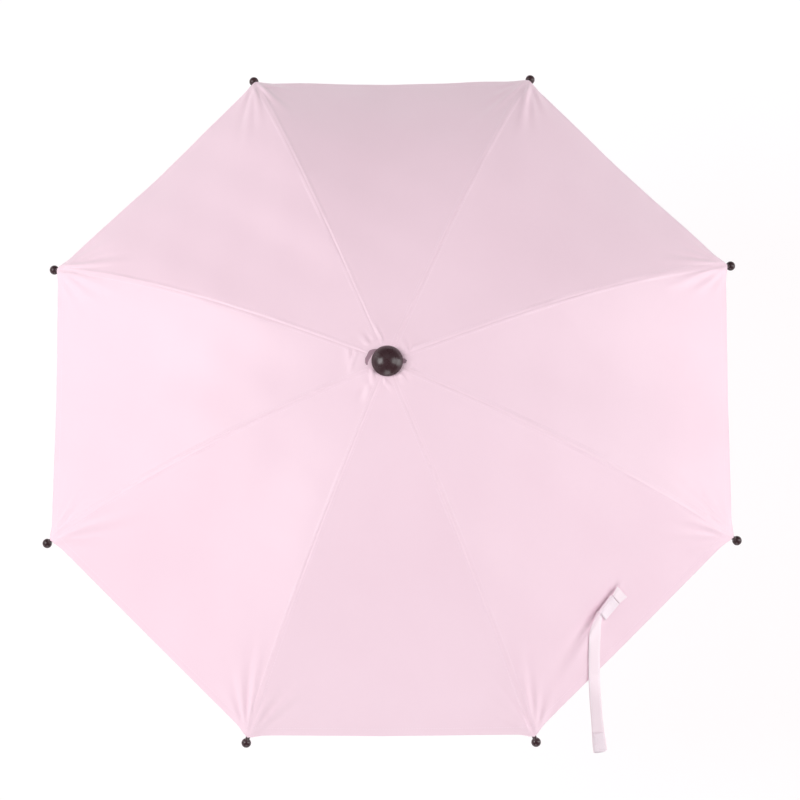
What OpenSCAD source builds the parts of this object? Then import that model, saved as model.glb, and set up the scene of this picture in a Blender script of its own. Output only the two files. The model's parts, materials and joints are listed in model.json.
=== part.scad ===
// Plain eight-panel stick parasol, shown open.
// Z runs along the shaft with the canopy on top. The origin is the middle of the handle's grip.

/* [Canopy and ribs] */
// Distance from the shaft axis to the centre of a tip ball
tip_reach = 375; // [350:1:400]
// Straight distance from a rib's hub pivot to its middle joint
rib_inner = 160; // [150:1:165]
// Slope of a rib where it leaves the hub
slope_hub = 2; // [0:1:5]
// Slope of a rib at its middle joint
slope_joint = 17; // [14:1:20]
// Slope of a rib at its tip
slope_tip = 49; // [44:1:54]
// Thickness of the canopy cloth
cloth = 0.5; // [0.4:0.1:0.6]
// Gap between a rib's middle line and the cloth over it
cloth_lift = 2.6; // [2.5:0.1:3]

/* [Frame] */
// Height of the hub pivots above the middle of the grip
hub_z = 485; // [482:1:500]
// Radius of the ring of hub pivots
hub_r = 11; // [10.5:0.1:12]
// Length of a stretcher between its two pivots
stretcher_len = 180; // [176:1:184]
// Radius of the middle joints when the parasol is shut
joint_shut_r = 17; // [16:0.5:18]
// Radius of a tip ball
ball_r = 4.8; // [4:0.1:5]

/* [Shaft] */
// Outer radius of the shaft tube
shaft_r = 5; // [4.8:0.1:5]
// Wall of the shaft tube
shaft_wall = 0.8; // [0.6:0.1:0.9]
// Length of the runner sleeve below its pivots
sleeve_len = 42; // [38:1:46]

/* [Handle] */
// Radius of the grip
grip_r = 11; // [10:0.5:14]
// Length of the straight part of the grip
grip_len = 70; // [60:1:76]

/* [Cap] */
// Radius of the cap
cap_r = 15.3; // [14:0.1:16]
// Height of the cap
cap_h = 11; // [10:0.5:13]
// Radius of the washer under the cloth
washer_r = 22; // [20:0.5:23]

/* [Strap] */
// Width of the tie strap
strap_w = 11; // [9:0.5:13]
// Sideways place of the tie strap
strap_x = 206; // [200:1:212]
// Length of the strap's sewn root
strap_sewn = 32; // [28:1:36]
// Length of strap past the hem
strap_free = 98; // [80:1:110]
// Length of the hook tape
hook_len = 18; // [14:1:20]
// Width of the hook tape
hook_w = 9.5; // [8:0.5:10]

/* [Hidden] */

PINK = [0.96, 0.87, 0.91];
PALE = [0.97, 0.92, 0.94];
DARK = [0.27, 0.18, 0.20];
STEEL = [0.72, 0.73, 0.75];
GLASS_FIBRE = [0.86, 0.85, 0.84];

ribs = 8;
step = 360 / ribs;
half = step / 2;
$fn = 64;
DEG = 180 / PI;

// Rib curve: two arcs that share their slope at the middle joint.
chord_in = (slope_hub + slope_joint) / 2;
turn_in = slope_joint - slope_hub;
rho_in = rib_inner / (2 * sin(turn_in / 2));
joint_r = hub_r + rib_inner * cos(chord_in);
joint_z = hub_z - rib_inner * sin(chord_in);
chord_out = (slope_joint + slope_tip) / 2;
turn_out = slope_tip - slope_joint;
rib_outer = (tip_reach - joint_r) / cos(chord_out);
rho_out = rib_outer / (2 * sin(turn_out / 2));
tip_z = joint_z - rib_outer * sin(chord_out);

// Centres of the two arcs in the plane of a rib.
cin_r = hub_r - rho_in * sin(slope_hub);
cin_z = hub_z - rho_in * cos(slope_hub);
cout_r = joint_r - rho_out * sin(slope_joint);
cout_z = joint_z - rho_out * cos(slope_joint);

// Four-bar sizes, open.
stretch_slope = acos(rib_inner * cos(chord_in) / stretcher_len);
runner_z = hub_z - rib_inner * sin(chord_in) - stretcher_len * sin(stretch_slope);

shut_joint_z = hub_z - sqrt(pow(rib_inner, 2) - pow(joint_shut_r - hub_r, 2));
shut_runner_z = shut_joint_z - sqrt(pow(stretcher_len, 2) - pow(joint_shut_r - hub_r, 2));

// Catch noses sit this far below the runner's pivots, and the stop pin this far above.
catch_drop = 23;
stop_lift = 5.3;

// Rib section and pivots.
chan_w = 3.8;
chan_h = 3;
chan_t = 0.55;
pin_r = 0.8;
run_gap = 0.09;
tongue_w = 1.8;
eye_r = 2.2;
rod_r = 1.3;
wire_r = 0.7;
fork_in = 2.05;
fork_out = 2.65;

// Cloth heights near the crown.
crown_rise = 1.9;
rise_from = 24;
rise_to = 50;
cloth_hole = 7;
cloth_end = 10;
seam_gap = 0.15;

// Hub stack.
notch_top = 2.7;
washer_t = 1.1;
cap_base = 5.3;
shaft_top = 12;
shaft_foot = -30;

function lift(r) = let(t = max(0, min(1, (rise_to - r) / (rise_to - rise_from))))
    cloth_lift + crown_rise * t * t * (3 - 2 * t);

// Middle line of a rib at slope a: [radius, height].
function on_inner(a, c) = [cin_r + (rho_in + c) * sin(a), cin_z + (rho_in + c) * cos(a)];
function on_outer(a, c) = [cout_r + (rho_out + c) * sin(a), cout_z + (rho_out + c) * cos(a)];

// Height of the cloth's top over a rib, at a radius on the outer arc.
function cloth_z(r) = cout_z + sqrt(pow(rho_out + cloth_lift + cloth, 2) - pow(r - cout_r, 2));

module at_rib(i, r, z) {
    rotate([0, 0, half + (i - 1) * step])
        translate([r, 0, z])
            children();
}

// A bar along an arc that leaves the local origin at slope a0 and ends at slope a1.
// The child is its 2-D section: x is height over the middle line, y is sideways.
module arc_bar(rho, a0, a1, from) {
    translate([-rho * sin(from), 0, -rho * cos(from)])
        rotate([90, 0, 0])
            rotate([0, 0, 90 - a1])
                rotate_extrude(angle = a1 - a0, $fn = 360)
                    translate([rho, 0])
                        children();
}

module across(r, length) {
    rotate([90, 0, 0])
        cylinder(r = r, h = length, center = true, $fn = 48);
}

module shaft() {
    color(STEEL)
        difference() {
            translate([0, 0, shaft_foot])
                cylinder(r = shaft_r, h = hub_z + shaft_top - shaft_foot);
            translate([0, 0, shaft_foot - 1])
                cylinder(r = shaft_r - shaft_wall, h = hub_z + shaft_top - shaft_foot + 2);
            for (z = [runner_z, shut_runner_z])
                translate([2, -2.1, z - catch_drop - 8])
                    cube([6, 4.2, 16]);
            translate([0, 0, runner_z + stop_lift])
                across(1, 20);
        }
}

module cap() {
    lip = 1.4;
    dome_h = cap_h - lip;
    dome_r = (pow(cap_r, 2) + pow(dome_h, 2)) / (2 * dome_h);
    color(DARK)
        translate([0, 0, hub_z + cap_base])
            difference() {
                rotate_extrude($fn = 96)
                    union() {
                        square([cap_r, lip]);
                        intersection() {
                            translate([0, cap_h - dome_r])
                                circle(r = dome_r, $fn = 128);
                            translate([0, lip])
                                square([cap_r, cap_h]);
                        }
                    }
                translate([0, 0, -1])
                    cylinder(r = shaft_r, h = shaft_top - cap_base + 1);
            }
}

module crown_washer() {
    color(DARK)
        translate([0, 0, hub_z + notch_top])
            difference() {
                cylinder(r = washer_r, h = washer_t, $fn = 96);
                translate([0, 0, -1])
                    cylinder(r = shaft_r, h = washer_t + 2);
            }
}

module slots(width, inner, low, high) {
    for (i = [1:ribs])
        at_rib(i, inner, low)
            translate([0, -width / 2, 0])
                cube([20, width, high - low]);
}

module notch() {
    color(DARK)
        difference() {
            translate([0, 0, hub_z - 6])
                cylinder(r = 14.5, h = 6 + notch_top);
            translate([0, 0, hub_z - 7])
                cylinder(r = shaft_r, h = 12);
            slots(tongue_w + 0.4, hub_r - eye_r - 0.4, hub_z - 7, hub_z + 8);
            translate([0, 0, hub_z])
                rotate_extrude()
                    translate([hub_r, 0])
                        circle(r = wire_r, $fn = 32);
        }
}

module notch_wire() {
    color(STEEL)
        translate([0, 0, hub_z])
            rotate_extrude()
                translate([hub_r, 0])
                    circle(r = wire_r, $fn = 32);
}

module runner() {
    color(DARK)
        difference() {
            union() {
                translate([0, 0, runner_z - 5])
                    cylinder(r = 15, h = 9);
                translate([0, 0, runner_z - sleeve_len])
                    cylinder(r = 8, h = sleeve_len);
                translate([0, 0, runner_z - sleeve_len])
                    cylinder(r = 10, h = 3);
                translate([0, 0, runner_z - sleeve_len + 3])
                    cylinder(r1 = 10, r2 = 8, h = 2);
            }
            translate([0, 0, runner_z - sleeve_len - 1])
                cylinder(r = shaft_r + run_gap, h = sleeve_len + 8);
            slots(tongue_w + 0.6, hub_r - eye_r - 0.2, runner_z - 6, runner_z + 6);
            translate([4, -2.3, runner_z - 30])
                cube([6, 4.6, 14]);
        }
}

// A leaf in the shaft with a wedge nose that stands out of the shaft's slot.
module catch_spring(z) {
    color(STEEL)
        translate([0, 0, z]) {
            translate([1.1, -1.5, -16])
                cube([0.8, 3, 32]);
            rotate([90, 0, 0])
                linear_extrude(height = 3, center = true)
                    polygon([[1.5, -6], [7.2, 3.5], [7.2, 6], [1.5, 6]]);
        }
}

module upper_catch() {
    catch_spring(runner_z - catch_drop);
}

module lower_catch() {
    catch_spring(shut_runner_z - catch_drop);
}

module stop_pin() {
    color(STEEL)
        translate([0, 0, runner_z + stop_lift])
            across(1, 15);
}

module handle() {
    round_r = 6;
    neck = 22;
    color(DARK)
        difference() {
            rotate_extrude($fn = 96)
                union() {
                    translate([0, -grip_len / 2])
                        square([grip_r, grip_len]);
                    translate([0, -grip_len / 2 - round_r])
                        square([grip_r - round_r, round_r]);
                    translate([grip_r - round_r, -grip_len / 2])
                        intersection() {
                            circle(r = round_r, $fn = 64);
                            translate([0, -round_r])
                                square([round_r, round_r]);
                        }
                    polygon([
                        [0, grip_len / 2], [grip_r, grip_len / 2],
                        [shaft_r + 2, grip_len / 2 + neck], [0, grip_len / 2 + neck]
                    ]);
                }
            translate([0, 0, shaft_foot])
                cylinder(r = shaft_r, h = 100);
        }
}

// Steel channel between the hub pivot and the middle joint.
module rib(i) {
    lead = 8;
    block = 6;
    clear = 7;
    wall_off = (chan_w - chan_t) / 2;
    start = slope_hub + lead / rho_in * DEG;
    web_end = slope_joint - clear / rho_in * DEG;
    color(STEEL)
        at_rib(i, hub_r, hub_z)
            difference() {
                union() {
                    arc_bar(rho_in, start, web_end, slope_hub)
                        translate([chan_h / 2 - chan_t, -chan_w / 2])
                            square([chan_t, chan_w]);
                    for (side = [-1, 1])
                        arc_bar(rho_in, start, slope_joint, slope_hub)
                            translate([-chan_h / 2, side * wall_off - chan_t / 2])
                                square([chan_h, chan_t]);
                    arc_bar(rho_in, start, start + block / rho_in * DEG, slope_hub)
                        translate([-1.1, -wall_off])
                            square([2.3, 2 * wall_off]);
                    arc_bar(rho_in, slope_hub, start + 1 / rho_in * DEG, slope_hub)
                        translate([-1.3, -tongue_w / 2])
                            square([2.1, tongue_w]);
                    across(eye_r, tongue_w);
                    for (side = [-1, 1])
                        translate([joint_r - hub_r, side * wall_off, joint_z - hub_z])
                            across(eye_r, chan_t);
                }
                across(wire_r + run_gap, 8);
                translate([joint_r - hub_r, 0, joint_z - hub_z])
                    across(pin_r, 8);
            }
}

// Glass-fibre rod from the middle joint to the tip.
module rib_rod(i) {
    lead = 8;
    color(GLASS_FIBRE)
        at_rib(i, joint_r, joint_z)
            difference() {
                union() {
                    arc_bar(rho_out, slope_joint + lead / rho_out * DEG, slope_tip, slope_joint)
                        circle(r = rod_r, $fn = 32);
                    rotate([0, slope_joint, 0])
                        translate([0, -1.2, -1.2])
                            cube([lead + 3, 2.4, 2.4]);
                    across(eye_r, 2.4);
                }
                across(pin_r + run_gap, 8);
            }
}

// Steel stretcher with a fork at the rib and a flat eye at the runner.
module stretcher(i) {
    fork = 14;
    flat = 30;
    bar_w = 3;
    bar_h = 2.6;
    color(STEEL)
        at_rib(i, joint_r, joint_z)
            rotate([0, 180 - stretch_slope, 0])
                difference() {
                    union() {
                        for (side = [-1, 1])
                            translate([0, side * (fork_in + fork_out) / 2, 0]) {
                                across(eye_r, fork_out - fork_in);
                                translate([0, -(fork_out - fork_in) / 2, -1.5])
                                    cube([fork + 1, fork_out - fork_in, 3]);
                            }
                        translate([fork, -fork_out, -1.5])
                            cube([4, 2 * fork_out, 3]);
                        for (side = [-1, 1])
                            translate([fork + 3, side * (bar_w - 0.5) / 2 - 0.25, -bar_h / 2])
                                cube([stretcher_len - fork - 3 - flat + 4, 0.5, bar_h]);
                        translate([fork + 3, -bar_w / 2, bar_h / 2 - 0.5])
                            cube([stretcher_len - fork - 3 - flat + 4, bar_w, 0.5]);
                        translate([stretcher_len - flat, -bar_w / 2 + 0.25, -bar_h / 2])
                            cube([4, bar_w - 0.5, bar_h]);
                        translate([stretcher_len - flat, -tongue_w / 2, -bar_h / 2])
                            cube([flat, tongue_w, bar_h]);
                        translate([stretcher_len, 0, 0])
                            across(2, tongue_w);
                    }
                    across(pin_r + run_gap, 8);
                    translate([stretcher_len, 0, 0])
                        across(pin_r, 8);
                }
}

module rivet(i) {
    color(STEEL)
        at_rib(i, joint_r, joint_z) {
            across(pin_r, 2 * fork_out + 0.2);
            for (side = [-1, 1])
                translate([0, side * (fork_out + 0.4), 0])
                    across(1.7, 0.6);
        }
}

module tip(i) {
    sleeve = 1.4;
    color(DARK)
        at_rib(i, joint_r, joint_z)
            difference() {
                union() {
                    translate([tip_reach - joint_r, 0, tip_z - joint_z])
                        sphere(r = ball_r, $fn = 64);
                    arc_bar(rho_out, slope_tip - sleeve, slope_tip, slope_joint)
                        circle(r = 2.2, $fn = 32);
                }
                arc_bar(rho_out, slope_tip - 2, slope_tip, slope_joint)
                    circle(r = rod_r, $fn = 32);
            }
}

// One cloth panel, straight across from rib to rib.
function gore_stations() = concat(
    [[cloth_hole, hub_z + lift(0) - 0.01]],
    [for (k = [0:5]) let(a = slope_hub + turn_in * (k + 0.4) / 5.4, p = on_inner(a, 0))
        on_inner(a, lift(p[0]))],
    [for (k = [1:8]) let(end = turn_out - cloth_end / rho_out * DEG)
        on_outer(slope_joint + end * k / 8, cloth_lift)]
);

module gore(i) {
    low = gore_stations();
    n = len(low);
    function normal(k) = let(
        a = low[max(0, k - 1)],
        b = low[min(n - 1, k + 1)],
        d = (b - a) / norm(b - a)
    ) [-d[1], d[0]];
    high = [for (k = [0:n - 1]) low[k] + cloth * normal(k)];
    function corner(p, side) = let(y = side * (p[0] * sin(half) - seam_gap))
        [p[0] * cos(half), y, p[1]];
    points = [for (k = [0:n - 1]) for (p = [low[k], high[k]]) for (side = [-1, 1]) corner(p, side)];
    color(PINK)
        rotate([0, 0, i * step])
            polyhedron(
                points = points,
                faces = concat(
                    [[0, 2, 3, 1]],
                    [for (k = [0:n - 2]) let(b = 4 * k) for (f = [
                        [b, b + 1, b + 5, b + 4],
                        [b + 2, b + 6, b + 7, b + 3],
                        [b, b + 4, b + 6, b + 2],
                        [b + 1, b + 3, b + 7, b + 5]
                    ]) f],
                    [[4 * n - 4, 4 * n - 3, 4 * n - 1, 4 * n - 2]]
                )
            );
}

// Heights of the strap and its hook tape over the cloth, straight up.
strap_high = 1.2;
hook_high = 2.6;

// Height of the top of the panel at -45 degrees, at a place seen from above.
function panel_z(p) = cloth_z((p[0] - p[1]) * cos(45) / cos(half));

// The strap's middle line seen from above: sewn end, turn, over the hem and past it.
hem_r = on_outer(slope_tip - cloth_end / rho_out * DEG, cloth_lift + cloth)[0];
hem_out = hem_r * cos(half);
strap_turn = [strap_x - 1, strap_x - 1 - (hem_out - 31) / cos(45)];
strap_root = strap_turn + [strap_sewn * cos(45), strap_sewn * sin(45)];
hem_y = strap_x - hem_out / cos(45);
route = concat(
    [for (k = [0:3]) strap_root + (strap_turn - strap_root) * k / 4],
    [strap_turn + [-0.5, -3], strap_turn + [-1.5, -11]],
    [for (k = [1:3]) [strap_x - 2, strap_turn[1] - 11 + (hem_y - strap_turn[1] + 11) * k / 3]]
);

// Past the hem the strap stands off a little, then bends down under its own weight.
hem_fall = atan2(panel_z([strap_x, hem_y + 2]) - panel_z([strap_x, hem_y]), 2) - 4;
free_steps = 8;
free_turn = 22;
function free_pt(k) = k == 0
    ? [strap_x - 2, hem_y, panel_z([strap_x, hem_y]) + strap_high]
    : let(a = hem_fall + free_turn * (k - 0.5) / free_steps)
        free_pt(k - 1) + strap_free / free_steps * [0, -cos(a), -sin(a)];

// A band of width w and thickness t: edges is a list of [left, right] points of its middle surface.
module band(edges, t) {
    n = len(edges);
    function up(k) = let(
        a = edges[max(0, k - 1)],
        b = edges[min(n - 1, k + 1)],
        d = cross(edges[k][1] - edges[k][0], b[0] + b[1] - a[0] - a[1])
    ) d / norm(d);
    points = [for (k = [0:n - 1]) for (s = [0.5, -0.5]) for (p = edges[k]) p + s * t * up(k)];
    polyhedron(
        points = points,
        faces = concat(
            [[0, 1, 3, 2]],
            [for (k = [0:n - 2]) let(b = 4 * k) for (f = [
                [b, b + 4, b + 5, b + 1],
                [b + 2, b + 3, b + 7, b + 6],
                [b, b + 2, b + 6, b + 4],
                [b + 1, b + 5, b + 7, b + 3]
            ]) f],
            [[4 * n - 4, 4 * n - 2, 4 * n - 1, 4 * n - 3]]
        )
    );
}

// Edges of a band that lies on the panel along a route, so high above its top.
function lying(path, w, high) = [for (k = [0:len(path) - 1]) let(
    a = path[max(0, k - 1)],
    b = path[min(len(path) - 1, k + 1)],
    side = [-(b - a)[1], (b - a)[0]] / norm(b - a)
) [for (s = [-w / 2, w / 2]) let(p = path[k] - s * side) [p[0], p[1], panel_z(p) + high]]];

function hanging(w) = [for (k = [1:free_steps]) let(p = free_pt(k), f = max(0, 1 - k / 3))
    [for (s = [-w / 2, w / 2]) p + [s, 0, f * (panel_z([p[0] + s, hem_y]) - panel_z([p[0], hem_y]))]]];

module tie_strap() {
    color(PINK)
        band(concat(lying(route, strap_w, strap_high), hanging(strap_w)), 1);
}

// Piece of hook tape sewn to the strap's root.
module hook_patch() {
    start = strap_root - [3, 3];
    color(PALE)
        band(lying([for (k = [0:2]) start - [hook_len, hook_len] * cos(45) * k / 2], hook_w, hook_high), 0.8);
}

shaft();
cap();
crown_washer();
notch();
notch_wire();
runner();
upper_catch();
lower_catch();
stop_pin();
handle();
tie_strap();
hook_patch();
for (i = [1:ribs]) {
    rib(i);
    rib_rod(i);
    stretcher(i);
    rivet(i);
    tip(i);
    gore(i);
}
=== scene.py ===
"""Dresses a plain eight-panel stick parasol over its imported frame.

The frame brings the shaft, ribs, stretchers, runner, cap, tips and grip. This script adds the sewn canopy,
the tapes and threads that hold it to the ribs, the tie strap with its hook and loop tape, every finish, the
lights, the floor and the camera. All lengths are metres in the frame's own axes.
"""

from __future__ import annotations

import json
import logging
import math
from dataclasses import dataclass, field
from enum import Enum

import bpy
import numpy as np
from mathutils import Matrix, Vector


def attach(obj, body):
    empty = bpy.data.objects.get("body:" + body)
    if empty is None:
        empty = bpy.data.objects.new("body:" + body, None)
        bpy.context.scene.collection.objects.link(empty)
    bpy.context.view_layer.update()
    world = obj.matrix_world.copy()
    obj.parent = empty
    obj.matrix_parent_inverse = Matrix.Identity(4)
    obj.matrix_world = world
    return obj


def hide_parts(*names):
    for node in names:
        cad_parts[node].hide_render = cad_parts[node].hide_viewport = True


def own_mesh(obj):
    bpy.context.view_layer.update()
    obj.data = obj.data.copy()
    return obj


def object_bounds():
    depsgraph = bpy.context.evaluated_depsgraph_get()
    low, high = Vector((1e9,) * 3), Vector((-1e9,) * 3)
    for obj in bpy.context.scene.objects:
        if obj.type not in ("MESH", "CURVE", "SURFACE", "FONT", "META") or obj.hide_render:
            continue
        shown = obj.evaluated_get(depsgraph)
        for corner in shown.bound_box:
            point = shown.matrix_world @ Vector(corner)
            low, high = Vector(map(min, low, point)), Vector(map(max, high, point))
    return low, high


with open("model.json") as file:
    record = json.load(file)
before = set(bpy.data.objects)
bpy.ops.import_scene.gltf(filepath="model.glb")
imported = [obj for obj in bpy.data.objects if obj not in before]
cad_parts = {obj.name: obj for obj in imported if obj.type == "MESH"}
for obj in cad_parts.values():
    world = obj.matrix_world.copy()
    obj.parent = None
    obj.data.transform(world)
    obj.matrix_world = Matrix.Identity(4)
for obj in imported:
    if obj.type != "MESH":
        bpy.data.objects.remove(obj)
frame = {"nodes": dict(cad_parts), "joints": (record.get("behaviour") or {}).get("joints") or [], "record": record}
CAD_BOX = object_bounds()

Array = np.ndarray
Colour = tuple[float, float, float, float]
Plan = tuple[float, float]
Scaling = tuple[float, float, float]

log = logging.getLogger("parasol")

RIBS = 8
STEP = 2 * math.pi / RIBS
HALF = STEP / 2
SPREAD = math.tan(HALF)
NOISE_LOW, NOISE_HIGH = 0.3, 0.7


class Slot(str, Enum):
    """The record's material slots."""

    CANOPY = "canopy_cloth"
    STRAP = "strap_cloth"
    HOOK = "hook_tape"
    DARK = "dark_plastic"
    GRIP = "grip_plastic"
    TUBE = "shaft_tube"
    STEEL = "frame_steel"
    FIBRE = "glass_fibre"


class Side(Enum):
    """The two sides of a rib, seen from above with the tip pointing away."""

    RIGHT = -1
    LEFT = 1


class Stretch(Enum):
    """The two lengths of a rib, each on a body of its own."""

    INNER = "inner"
    OUTER = "outer"


def smooth(t: Array) -> Array:
    """Smoothstep of t, held to 0 below 0 and to 1 above 1."""
    t = np.clip(t, 0.0, 1.0)
    return t * t * (3 - 2 * t)


def rib_azimuth(rib: int) -> float:
    """Azimuth of a rib, in radians."""
    return HALF + (rib - 1) * STEP


def joint_place(name: str) -> Vector:
    """Place of one of the frame's joints."""
    found = next(j for j in frame["joints"] if j["name"] == name)
    return Vector(found["pos_m"])


def table_at(degrees: Array, places: tuple[Plan, ...]) -> Array:
    """Reads a table of (degrees, millimetres) that goes once round the shaft.

    Args:
        degrees: Azimuths to read it at.
        places: The table.

    Returns:
        The lengths in metres.
    """
    angles, reaches = np.array(places).T
    return np.interp(degrees, angles, reaches / 1000, period=360)


def spans(points: Array) -> Array:
    """Distances between the points of a line, one after another."""
    return np.linalg.norm(np.diff(points, axis=0), axis=1)


def distances(points: Array) -> Array:
    """Distance of each point of a line from its first point, along the line."""
    return np.concatenate([[0], np.cumsum(spans(points))])


def grid_faces(rows: int, columns: int, flip: bool = False) -> list[tuple[int, ...]]:
    """Quads of a grid of points that is stored row by row.

    Args:
        rows: Number of rows.
        columns: Number of points in a row.
        flip: Turns the faces over.

    Returns:
        One tuple of four corner numbers per quad.
    """
    faces = []
    for i in range(rows - 1):
        for j in range(columns - 1):
            a = i * columns + j
            quad = (a, a + columns, a + columns + 1, a + 1)
            faces.append(quad[::-1] if flip else quad)
    return faces


def tube_faces(rings: int, around: int, flip: bool = False) -> list[tuple[int, ...]]:
    """Faces of a tube with closed ends, whose points are stored ring by ring.

    Args:
        rings: Number of rings.
        around: Number of points in a ring.
        flip: Turns the faces over.

    Returns:
        The corner numbers of each face.
    """
    faces = []
    for k in range(rings - 1):
        for m in range(around):
            a, b = k * around + m, k * around + (m + 1) % around
            faces.append((a, a + around, b + around, b) if flip else (a, b, b + around, a + around))
    first, last = tuple(range(around)), tuple(range((rings - 1) * around, rings * around))
    return faces + ([first, last[::-1]] if flip else [first[::-1], last])


def make_object(name: str, points: Array, faces: list[tuple[int, ...]], **maps: Array) -> bpy.types.Object:
    """Makes a smooth-shaded mesh object.

    Args:
        name: Name of the object.
        points: Corner places, one row of three per corner.
        faces: Corner numbers of each face.
        maps: UV maps by name, each with one row of two per corner.

    Returns:
        The new object, linked to the scene.
    """
    mesh = bpy.data.meshes.new(name)
    mesh.from_pydata(points.tolist(), [], faces)
    mesh.polygons.foreach_set("use_smooth", [True] * len(mesh.polygons))
    corners = np.zeros(len(mesh.loops), int)
    mesh.loops.foreach_get("vertex_index", corners)
    for key, uv in maps.items():
        layer = mesh.uv_layers.new(name=key)
        layer.data.foreach_set("uv", uv[corners].astype(np.float32).ravel())
    mesh.update()
    obj = bpy.data.objects.new(name, mesh)
    bpy.context.scene.collection.objects.link(obj)
    return obj


class Graph:
    """One material's node tree, with short calls to add and join its nodes."""

    def __init__(self, name: str) -> None:
        """Starts a material that holds a Principled shader."""
        self.material = bpy.data.materials.new(name)
        self.material.use_nodes = True
        self.tree = self.material.node_tree
        self.shader = self.tree.nodes["Principled BSDF"]

    def add(self, kind: str, **settings: object) -> bpy.types.Node:
        """Adds a node and sets its properties by name."""
        node = self.tree.nodes.new(kind)
        for key, value in settings.items():
            setattr(node, key, value)
        return node

    def join(self, source: bpy.types.NodeSocket, target: bpy.types.NodeSocket) -> None:
        """Links one socket to another."""
        self.tree.links.new(source, target)

    def maths(self, operation: str, *values: object) -> bpy.types.NodeSocket:
        """Adds a Math node.

        Args:
            operation: The node's operation.
            values: Its inputs, each a number or a socket.

        Returns:
            The node's output socket.
        """
        node = self.add("ShaderNodeMath", operation=operation)
        for slot, value in zip(node.inputs, values):
            if isinstance(value, (int, float)):
                slot.default_value = value
            else:
                self.join(value, slot)
        return node.outputs[0]

    def noise(self, scale: float, detail: float = 3.0, stretch: Scaling = (1, 1, 1)) -> bpy.types.NodeSocket:
        """Adds a noise in the object's own coordinates.

        Args:
            scale: Number of its features in a metre.
            detail: Number of finer layers in it.
            stretch: How the coordinates are scaled along each axis.

        Returns:
            Its grey output.
        """
        place = self.add("ShaderNodeTexCoord").outputs["Object"]
        mapping = self.add("ShaderNodeMapping")
        mapping.inputs["Scale"].default_value = stretch
        texture = self.add("ShaderNodeTexNoise")
        texture.inputs["Scale"].default_value = scale
        texture.inputs["Detail"].default_value = detail
        self.join(place, mapping.inputs["Vector"])
        self.join(mapping.outputs["Vector"], texture.inputs["Vector"])
        return texture.outputs["Fac"]

    def range(self, value: bpy.types.NodeSocket, low: float, high: float) -> bpy.types.NodeSocket:
        """Spreads the middle of a noise's values over the range from low to high."""
        node = self.add("ShaderNodeMapRange")
        limits = {"From Min": NOISE_LOW, "From Max": NOISE_HIGH, "To Min": low, "To Max": high}
        for key, number in limits.items():
            node.inputs[key].default_value = number
        self.join(value, node.inputs["Value"])
        return node.outputs["Result"]

    def mix(self, share: bpy.types.NodeSocket, first: Colour, second: object) -> bpy.types.NodeSocket:
        """Mixes two colours.

        Args:
            share: Share of the second colour.
            first: A colour.
            second: A colour or a socket.

        Returns:
            The mixed colour.
        """
        node = self.add("ShaderNodeMix", data_type="RGBA")
        self.join(share, node.inputs["Factor"])
        for slot, value in ((node.inputs[6], first), (node.inputs[7], second)):
            if isinstance(value, tuple):
                slot.default_value = value
            else:
                self.join(value, slot)
        return node.outputs[2]

    def bump(self, height: bpy.types.NodeSocket, distance: float, strength: float) -> None:
        """Joins a height to the shader's normal."""
        node = self.add("ShaderNodeBump")
        node.inputs["Distance"].default_value = distance
        node.inputs["Strength"].default_value = strength
        self.join(height, node.inputs["Height"])
        self.join(node.outputs["Normal"], self.shader.inputs["Normal"])

    def uv(self, name: str) -> tuple[bpy.types.NodeSocket, bpy.types.NodeSocket]:
        """The two coordinates of a UV map."""
        parts = self.add("ShaderNodeSeparateXYZ")
        self.join(self.add("ShaderNodeUVMap", uv_map=name).outputs["UV"], parts.inputs["Vector"])
        return parts.outputs["X"], parts.outputs["Y"]

    def constants(self, **values: float | Colour) -> None:
        """Sets values on the shader's own sockets, named with _ for a space."""
        for key, value in values.items():
            self.shader.inputs[key.replace("_", " ")].default_value = value


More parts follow.
